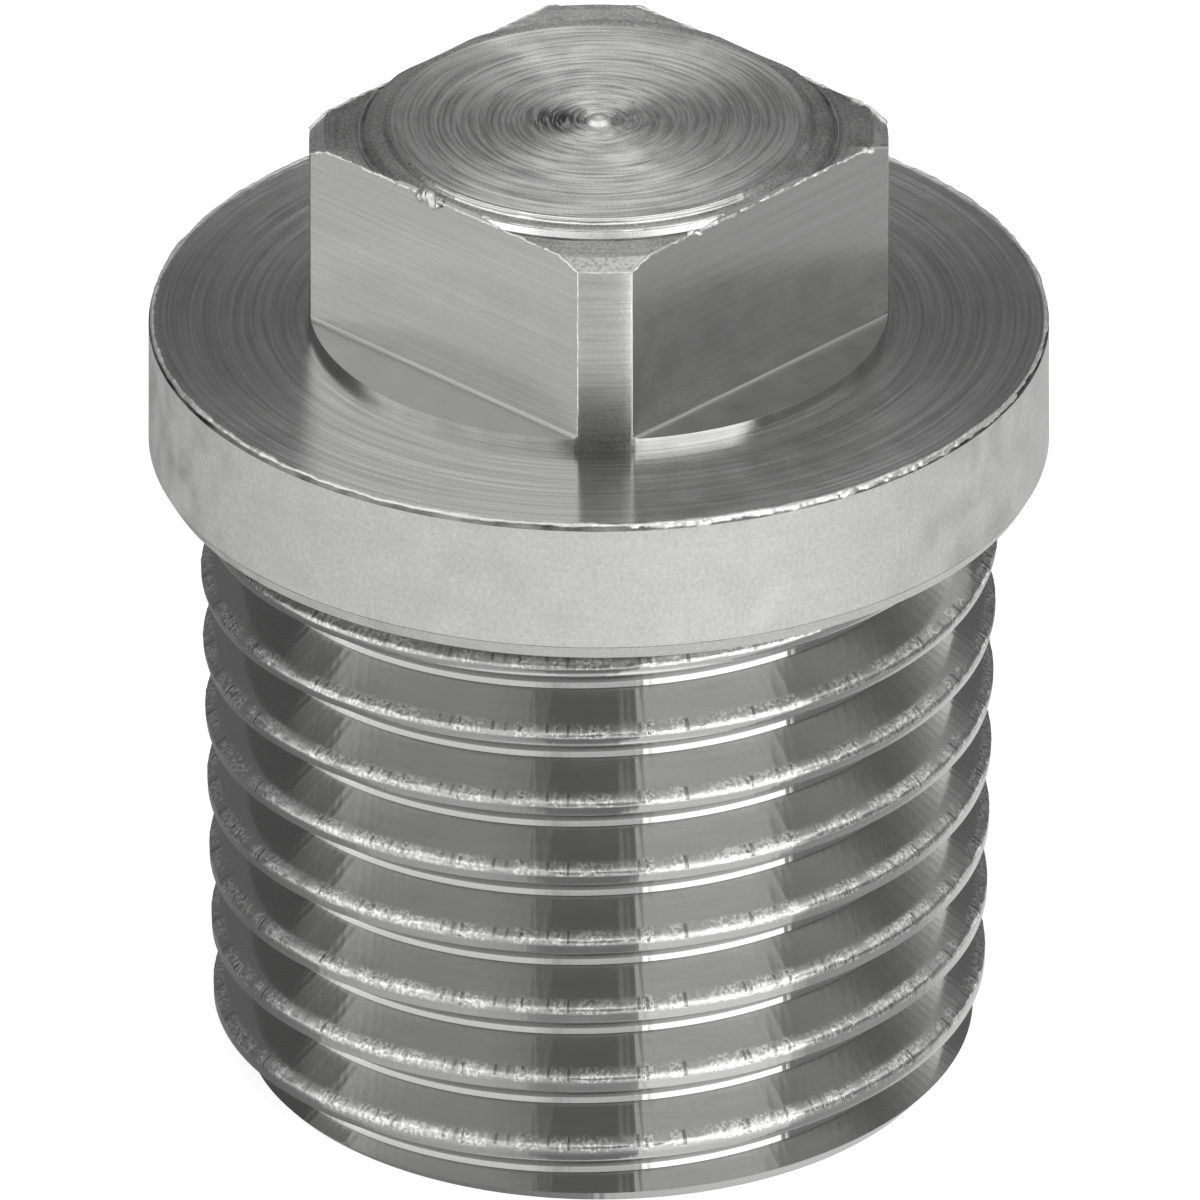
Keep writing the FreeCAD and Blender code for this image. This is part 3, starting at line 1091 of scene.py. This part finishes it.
# The studio's walls and ceiling as bands of light. Azimuths are in degrees from the camera's
# side, to the right, elevations from the horizon. Each band has its lowest and highest
# elevation, its soft edge, and strengths at azimuths with straight lines between them.
skyBands = [
    {"name": "table", "elevation": (-95, -21), "soft": 5, "strengths": [
        (-180, 0.10), (-125, 0.03), (-84, 0.14), (-75, 0.32), (-40, 0.36), (-22, 0.26),
        (-18, 0.06), (11, 0.06), (13, 0.64), (60, 0.60), (64, 0.20), (78, 0.22), (98, 0.24),
        (110, 0.30), (126, 0.60), (150, 0.65), (180, 0.40)]},
    {"name": "tableEdge", "elevation": (-28, -14), "soft": 7, "strengths": [
        (-93, 0.0), (-90, 0.46), (-84, 0.46), (-76, 0.22), (-22, 0.20), (-17, 0.32),
        (11, 0.32), (13, 0.50), (51, 0.50), (56, 0.15), (98, 0.06), (112, 0.0)]},
    {"name": "banks", "elevation": (-18, 41), "soft": 7, "strengths": [
        (-110, 0.0), (-94, 0.78), (-20, 0.68), (-9, 0.0), (13, 0.0), (15, 1.75), (60, 1.75),
        (62, 0.05), (112, 0.05), (124, 0.0)]},
    {"name": "frontTop", "elevation": (45, 68), "soft": 4, "strengths": [
        (-104, 0.0), (-90, 0.95), (90, 0.95), (104, 0.0)]},
    {"name": "backTop", "elevation": (31, 76), "soft": 10, "strengths": [
        (-180, 1.00), (-171, 0.45), (-160, 0.05), (-142, 0.0), (-136, 0.12), (-122, 0.38),
        (-80, 0.42), (-70, 0.0), (62, 0.0), (100, 0.48), (128, 0.60), (138, 0.20),
        (160, 0.05), (171, 0.45), (180, 1.00)]},
    {"name": "near", "elevation": (-24, -3), "soft": 5, "strengths": [
        (-15, 0.0), (-9, 0.50), (12, 0.50), (15, 0.0)]},
    {"name": "rightBank", "elevation": (-17, 8), "soft": 6, "strengths": [
        (100, 0.0), (112, 0.12), (122, 0.35), (130, 0.70), (138, 1.10), (140, 0.0)]},
    {"name": "underfoot", "elevation": (-95, -66), "soft": 12, "strengths": [
        (-180, 0.1), (-100, 0.35), (-60, 0.55), (60, 0.55), (100, 0.35), (180, 0.1)]},
    {"name": "zenith", "elevation": (78, 95), "soft": 4, "strengths": [
        (-180, 0.4), (180, 0.4)]},
]


def makeStudio():
    world = bpy.data.worlds.new("studio")
    scene.world = world
    world.use_nodes = True
    world.cycles.sampling_method = "NONE"     # the studio is soft, so no map of it is needed
    tree = world.node_tree
    tree.nodes.clear()
    x, y, z = parts(tree, addNode(tree, "ShaderNodeTexCoord").outputs["Generated"])
    turn = calc(tree, "DEGREES", calc(tree, "ARCTAN2", y, x))
    azimuth = calc(tree, "WRAP", minus(tree, turn, camera["azimuth"]), 180.0, -180.0)
    share = ratio(tree, total(tree, azimuth, 180.0), 360.0)
    elevation = calc(tree, "DEGREES", calc(tree, "ARCSINE", z))
    glow, brightest = studio["surroundings"], studio["brightest"]
    for band in skyBands:
        (bottom, top), soft = band["elevation"], band["soft"] / 2
        ramp = addNode(tree, "ShaderNodeValToRGB", label=band["name"])
        feed(tree, ramp.inputs[0], share)
        stops = ramp.color_ramp.elements
        while len(stops) < len(band["strengths"]):
            stops.new(0.5)
        for stop, (side, strength) in zip(stops, band["strengths"]):
            stop.position = (side + 180) / 360
            stop.color = [strength / brightest] * 3 + [1]
        above = spread(tree, elevation, bottom - soft, bottom + soft, 0.0, brightest)
        mask = product(tree, above, spread(tree, elevation, top + soft, top - soft))
        glow = calc(tree, "MULTIPLY_ADD", ramp.outputs[0], mask, glow)
    # the backdrop itself is plain white
    toEye = addNode(tree, "ShaderNodeLightPath").outputs["Is Camera Ray"]
    shade = addNode(tree, "ShaderNodeMix", data_type="FLOAT")
    feed(tree, shade.inputs[0], toEye)
    feed(tree, shade.inputs[2], glow)
    feed(tree, shade.inputs[3], 1.0)
    background = addNode(tree, "ShaderNodeBackground")
    feed(tree, background.inputs["Strength"], shade.outputs[0])
    feed(tree, background.inputs["Color"], (1, 1, 1, 1))
    output = addNode(tree, "ShaderNodeOutputWorld")
    tree.links.new(background.outputs[0], output.inputs[0])


def makeFloor():
    cells, size = studio["floorSegments"], studio["floorSize"] / 2 / mm
    bm = bmesh.new()
    bmesh.ops.create_grid(bm, x_segments=cells, y_segments=cells, size=size)
    floor = fromBmesh("studioFloor", bm)
    floor.data.transform(Matrix.Scale(mm, 4))
    paper = bpy.data.materials.new("whitePaper")
    paper.use_nodes = True
    tree = paper.node_tree
    tree.nodes.clear()
    diffuse = addNode(tree, "ShaderNodeBsdfDiffuse")
    shade = studio["floorColour"]
    feed(tree, diffuse.inputs["Color"], (shade, shade, shade, 1))
    path = addNode(tree, "ShaderNodeLightPath").outputs
    seen = calc(tree, "MAXIMUM", path["Is Glossy Ray"], path["Is Transmission Ray"])
    seen = calc(tree, "MAXIMUM", path["Is Camera Ray"], seen)
    emission = addNode(tree, "ShaderNodeEmission")
    feed(tree, emission.inputs["Strength"], product(tree, seen, studio["floorGlow"]))
    both = addNode(tree, "ShaderNodeAddShader")
    tree.links.new(diffuse.outputs[0], both.inputs[0])
    tree.links.new(emission.outputs[0], both.inputs[1])
    output = addNode(tree, "ShaderNodeOutputMaterial")
    tree.links.new(both.outputs[0], output.inputs["Surface"])
    floor.data.materials.append(paper)
    floor.visible_glossy = False      # the steel shows the studio's white table instead


makeStudio()
makeFloor()
print("studio set")
